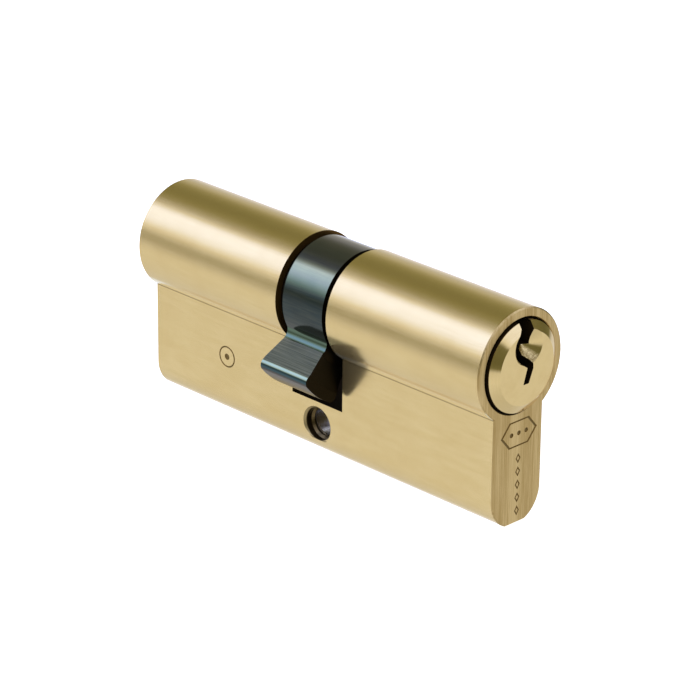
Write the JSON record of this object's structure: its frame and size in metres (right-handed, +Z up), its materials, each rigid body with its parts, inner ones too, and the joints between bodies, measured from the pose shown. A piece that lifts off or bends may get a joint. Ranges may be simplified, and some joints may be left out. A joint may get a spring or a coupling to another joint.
{
  "type": "double euro profile lock cylinder",
  "caption": "Brass double euro profile lock cylinder: keyed plugs at both ends turn a blued steel cam that throws a deadbolt, with spring-loaded pin stacks in the flange.",
  "frame": {"origin": "on the barrel axis, in the plane of the cam and the fixing screw hole", "axes": "+X along the barrel towards the outer key side, +Z up away from the flange, the cam nose at rest leans to -Y and -Z"},
  "size_m": [0.0726, 0.0204, 0.0326],
  "materials": {
    "housing_brass": "satin flanks, polished barrel",
    "plug_brass": "turned",
    "blued_steel": "blue-black oxidised, satin",
    "bright_steel": "machined",
    "dark_steel": "phosphated",
    "pin_nickel": "turned nickel silver",
    "pin_brass": "turned",
    "spring_steel": "bright wire",
    "cap_brass": "pressed in flush"
  },
  "bodies": {
    "housing": {"housing": "housing_brass", "pin_spring_outer_1": "spring_steel", "pin_spring_outer_2": "spring_steel", "pin_spring_outer_3": "spring_steel", "pin_spring_outer_4": "spring_steel", "pin_spring_outer_5": "spring_steel", "chamber_cap_outer_1": "cap_brass", "chamber_cap_outer_2": "cap_brass", "chamber_cap_outer_3": "cap_brass", "chamber_cap_outer_4": "cap_brass", "chamber_cap_outer_5": "cap_brass", "pin_spring_inner_1": "spring_steel", "pin_spring_inner_2": "spring_steel", "pin_spring_inner_3": "spring_steel", "pin_spring_inner_4": "spring_steel", "pin_spring_inner_5": "spring_steel", "chamber_cap_inner_1": "cap_brass", "chamber_cap_inner_2": "cap_brass", "chamber_cap_inner_3": "cap_brass", "chamber_cap_inner_4": "cap_brass", "chamber_cap_inner_5": "cap_brass"},
    "plug_outer": {"plug_outer": "plug_brass", "retaining_clip_outer": "dark_steel"},
    "plug_inner": {"plug_inner": "plug_brass", "retaining_clip_inner": "dark_steel"},
    "cam": {"cam": "blued_steel"},
    "clutch": {"clutch": "bright_steel"},
    "key_pin_outer_1": {"key_pin_outer_1": "pin_nickel"},
    "driver_pin_outer_1": {"driver_pin_outer_1": "pin_brass"},
    "key_pin_outer_2": {"key_pin_outer_2": "pin_nickel"},
    "driver_pin_outer_2": {"driver_pin_outer_2": "pin_brass"},
    "key_pin_outer_3": {"key_pin_outer_3": "pin_nickel"},
    "driver_pin_outer_3": {"driver_pin_outer_3": "pin_brass"},
    "key_pin_outer_4": {"key_pin_outer_4": "pin_nickel"},
    "driver_pin_outer_4": {"driver_pin_outer_4": "pin_brass"},
    "key_pin_outer_5": {"key_pin_outer_5": "pin_nickel"},
    "driver_pin_outer_5": {"driver_pin_outer_5": "pin_brass"},
    "key_pin_inner_1": {"key_pin_inner_1": "pin_nickel"},
    "driver_pin_inner_1": {"driver_pin_inner_1": "pin_brass"},
    "key_pin_inner_2": {"key_pin_inner_2": "pin_nickel"},
    "driver_pin_inner_2": {"driver_pin_inner_2": "pin_brass"},
    "key_pin_inner_3": {"key_pin_inner_3": "pin_nickel"},
    "driver_pin_inner_3": {"driver_pin_inner_3": "pin_brass"},
    "key_pin_inner_4": {"key_pin_inner_4": "pin_nickel"},
    "driver_pin_inner_4": {"driver_pin_inner_4": "pin_brass"},
    "key_pin_inner_5": {"key_pin_inner_5": "pin_nickel"},
    "driver_pin_inner_5": {"driver_pin_inner_5": "pin_brass"}
  },
  "joints": [
    {"name": "plug_outer_turn", "type": "hinge", "parent": "housing", "child": "plug_outer", "pos_m": [0, 0, 0], "axis": [1, 0, 0], "continuous": true},
    {"name": "plug_inner_turn", "type": "hinge", "parent": "housing", "child": "plug_inner", "pos_m": [0, 0, 0], "axis": [1, 0, 0], "continuous": true},
    {"name": "cam_turn", "type": "hinge", "parent": "housing", "child": "cam", "pos_m": [0, 0, 0], "axis": [1, 0, 0], "continuous": true},
    {"name": "clutch_slide", "type": "slide", "parent": "cam", "child": "clutch", "axis": [1, 0, 0], "range_m": [-0.001, 0]},
    {"name": "key_pin_outer_1_slide", "type": "slide", "parent": "plug_outer", "child": "key_pin_outer_1", "axis": [0, 0, 1], "range_m": [0, 0.0023]},
    {"name": "driver_pin_outer_1_slide", "type": "slide", "parent": "housing", "child": "driver_pin_outer_1", "axis": [0, 0, -1], "range_m": [0, 0.002], "stiffness_N_per_m": 40, "springref_m": -0.001, "deforming": ["pin_spring_outer_1"]},
    {"name": "key_pin_outer_2_slide", "type": "slide", "parent": "plug_outer", "child": "key_pin_outer_2", "axis": [0, 0, 1], "range_m": [0, 0.0016]},
    {"name": "driver_pin_outer_2_slide", "type": "slide", "parent": "housing", "child": "driver_pin_outer_2", "axis": [0, 0, -1], "range_m": [0, 0.002], "stiffness_N_per_m": 40, "springref_m": -0.001, "deforming": ["pin_spring_outer_2"]},
    {"name": "key_pin_outer_3_slide", "type": "slide", "parent": "plug_outer", "child": "key_pin_outer_3", "axis": [0, 0, 1], "range_m": [0, 0.002]},
    {"name": "driver_pin_outer_3_slide", "type": "slide", "parent": "housing", "child": "driver_pin_outer_3", "axis": [0, 0, -1], "range_m": [0, 0.002], "stiffness_N_per_m": 40, "springref_m": -0.001, "deforming": ["pin_spring_outer_3"]},
    {"name": "key_pin_outer_4_slide", "type": "slide", "parent": "plug_outer", "child": "key_pin_outer_4", "axis": [0, 0, 1], "range_m": [0, 0.0013]},
    {"name": "driver_pin_outer_4_slide", "type": "slide", "parent": "housing", "child": "driver_pin_outer_4", "axis": [0, 0, -1], "range_m": [0, 0.002], "stiffness_N_per_m": 40, "springref_m": -0.001, "deforming": ["pin_spring_outer_4"]},
    {"name": "key_pin_outer_5_slide", "type": "slide", "parent": "plug_outer", "child": "key_pin_outer_5", "axis": [0, 0, 1], "range_m": [0, 0.0018]},
    {"name": "driver_pin_outer_5_slide", "type": "slide", "parent": "housing", "child": "driver_pin_outer_5", "axis": [0, 0, -1], "range_m": [0, 0.002], "stiffness_N_per_m": 40, "springref_m": -0.001, "deforming": ["pin_spring_outer_5"]},
    {"name": "key_pin_inner_1_slide", "type": "slide", "parent": "plug_inner", "child": "key_pin_inner_1", "axis": [0, 0, 1], "range_m": [0, 0.0023]},
    {"name": "driver_pin_inner_1_slide", "type": "slide", "parent": "housing", "child": "driver_pin_inner_1", "axis": [0, 0, -1], "range_m": [0, 0.002], "stiffness_N_per_m": 40, "springref_m": -0.001, "deforming": ["pin_spring_inner_1"]},
    {"name": "key_pin_inner_2_slide", "type": "slide", "parent": "plug_inner", "child": "key_pin_inner_2", "axis": [0, 0, 1], "range_m": [0, 0.0016]},
    {"name": "driver_pin_inner_2_slide", "type": "slide", "parent": "housing", "child": "driver_pin_inner_2", "axis": [0, 0, -1], "range_m": [0, 0.002], "stiffness_N_per_m": 40, "springref_m": -0.001, "deforming": ["pin_spring_inner_2"]},
    {"name": "key_pin_inner_3_slide", "type": "slide", "parent": "plug_inner", "child": "key_pin_inner_3", "axis": [0, 0, 1], "range_m": [0, 0.002]},
    {"name": "driver_pin_inner_3_slide", "type": "slide", "parent": "housing", "child": "driver_pin_inner_3", "axis": [0, 0, -1], "range_m": [0, 0.002], "stiffness_N_per_m": 40, "springref_m": -0.001, "deforming": ["pin_spring_inner_3"]},
    {"name": "key_pin_inner_4_slide", "type": "slide", "parent": "plug_inner", "child": "key_pin_inner_4", "axis": [0, 0, 1], "range_m": [0, 0.0013]},
    {"name": "driver_pin_inner_4_slide", "type": "slide", "parent": "housing", "child": "driver_pin_inner_4", "axis": [0, 0, -1], "range_m": [0, 0.002], "stiffness_N_per_m": 40, "springref_m": -0.001, "deforming": ["pin_spring_inner_4"]},
    {"name": "key_pin_inner_5_slide", "type": "slide", "parent": "plug_inner", "child": "key_pin_inner_5", "axis": [0, 0, 1], "range_m": [0, 0.0018]},
    {"name": "driver_pin_inner_5_slide", "type": "slide", "parent": "housing", "child": "driver_pin_inner_5", "axis": [0, 0, -1], "range_m": [0, 0.002], "stiffness_N_per_m": 40, "springref_m": -0.001, "deforming": ["pin_spring_inner_5"]}
  ],
  "couplings": [
    {"joint": "cam_turn", "follows": "plug_outer_turn", "ratio": 1}
  ]
}
